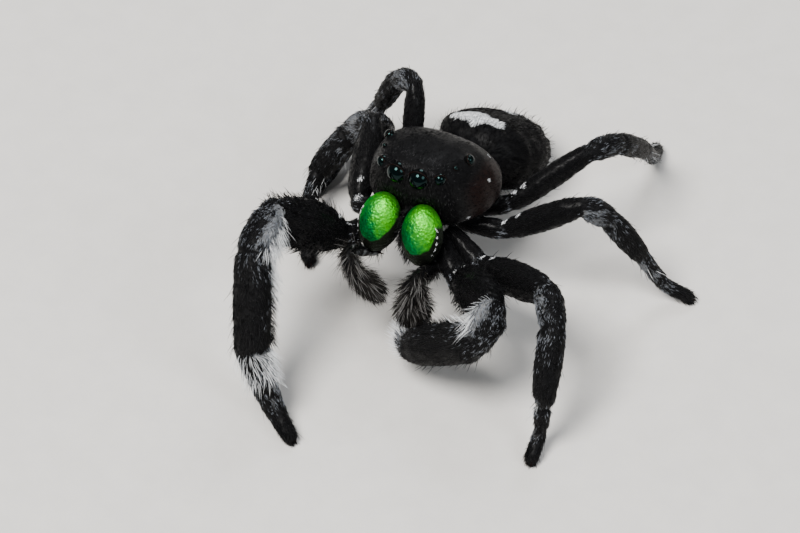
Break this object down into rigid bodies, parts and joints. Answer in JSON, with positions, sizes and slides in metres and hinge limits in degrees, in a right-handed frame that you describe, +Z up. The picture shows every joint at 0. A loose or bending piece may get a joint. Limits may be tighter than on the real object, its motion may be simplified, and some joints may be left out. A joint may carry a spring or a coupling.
{
  "type": "jumping spider",
  "caption": "Life-size still model of a black jumping spider with iridescent green chelicerae, standing alert on bent legs.",
  "frame": {"origin": "bottom centre of the whole spider's box, on the floor it stands on", "axes": "+Z up, -Y the way the head faces, +X the spider's left"},
  "size_m": [0.0142, 0.0178, 0.0063],
  "materials": {
    "black_coat": "dense short black hair with white scale hairs, matt with a faint cool sheen",
    "dark_shell": "smooth dark cuticle under short hair, soft gloss",
    "eye_lens": "black, wet gloss",
    "green_shell": "pebbled, metallic green cuticle that turns from yellow green to emerald",
    "pale_hair": "grey and white hair over dark cuticle"
  },
  "bodies": {
    "root": {"abdomen": "black_coat", "chelicera_left": "green_shell", "chelicera_right": "green_shell", "eye_front_middle_left": "eye_lens", "eye_front_middle_right": "eye_lens", "eye_front_side_left": "eye_lens", "eye_front_side_right": "eye_lens", "eye_rear_left": "eye_lens", "eye_rear_right": "eye_lens", "eye_top_middle_left": "eye_lens", "eye_top_middle_right": "eye_lens", "leg1_left_coxa": "black_coat", "leg1_left_femur": "black_coat", "leg1_left_foot": "black_coat", "leg1_left_patella": "black_coat", "leg1_left_tibia": "black_coat", "leg1_right_coxa": "black_coat", "leg1_right_femur": "black_coat", "leg1_right_foot": "black_coat", "leg1_right_patella": "black_coat", "leg1_right_tibia": "black_coat", "leg2_left_coxa": "black_coat", "leg2_left_femur": "black_coat", "leg2_left_foot": "black_coat", "leg2_left_patella": "black_coat", "leg2_left_tibia": "black_coat", "leg2_right_coxa": "black_coat", "leg2_right_femur": "black_coat", "leg2_right_foot": "black_coat", "leg2_right_patella": "black_coat", "leg2_right_tibia": "black_coat", "leg3_left_coxa": "black_coat", "leg3_left_femur": "black_coat", "leg3_left_foot": "black_coat", "leg3_left_patella": "black_coat", "leg3_left_tibia": "black_coat", "leg3_right_coxa": "black_coat", "leg3_right_femur": "black_coat", "leg3_right_foot": "black_coat", "leg3_right_patella": "black_coat", "leg3_right_tibia": "black_coat", "leg4_left_coxa": "black_coat", "leg4_left_femur": "black_coat", "leg4_left_foot": "black_coat", "leg4_left_patella": "black_coat", "leg4_left_tibia": "black_coat", "leg4_right_coxa": "black_coat", "leg4_right_femur": "black_coat", "leg4_right_foot": "black_coat", "leg4_right_patella": "black_coat", "leg4_right_tibia": "black_coat", "palp_left_cymbium": "pale_hair", "palp_left_femur": "pale_hair", "palp_left_tibia": "pale_hair", "palp_right_cymbium": "pale_hair", "palp_right_femur": "pale_hair", "palp_right_tibia": "pale_hair", "pedicel": "dark_shell", "prosoma": "dark_shell", "spinnerets": "black_coat"}
  },
  "joints": []
}
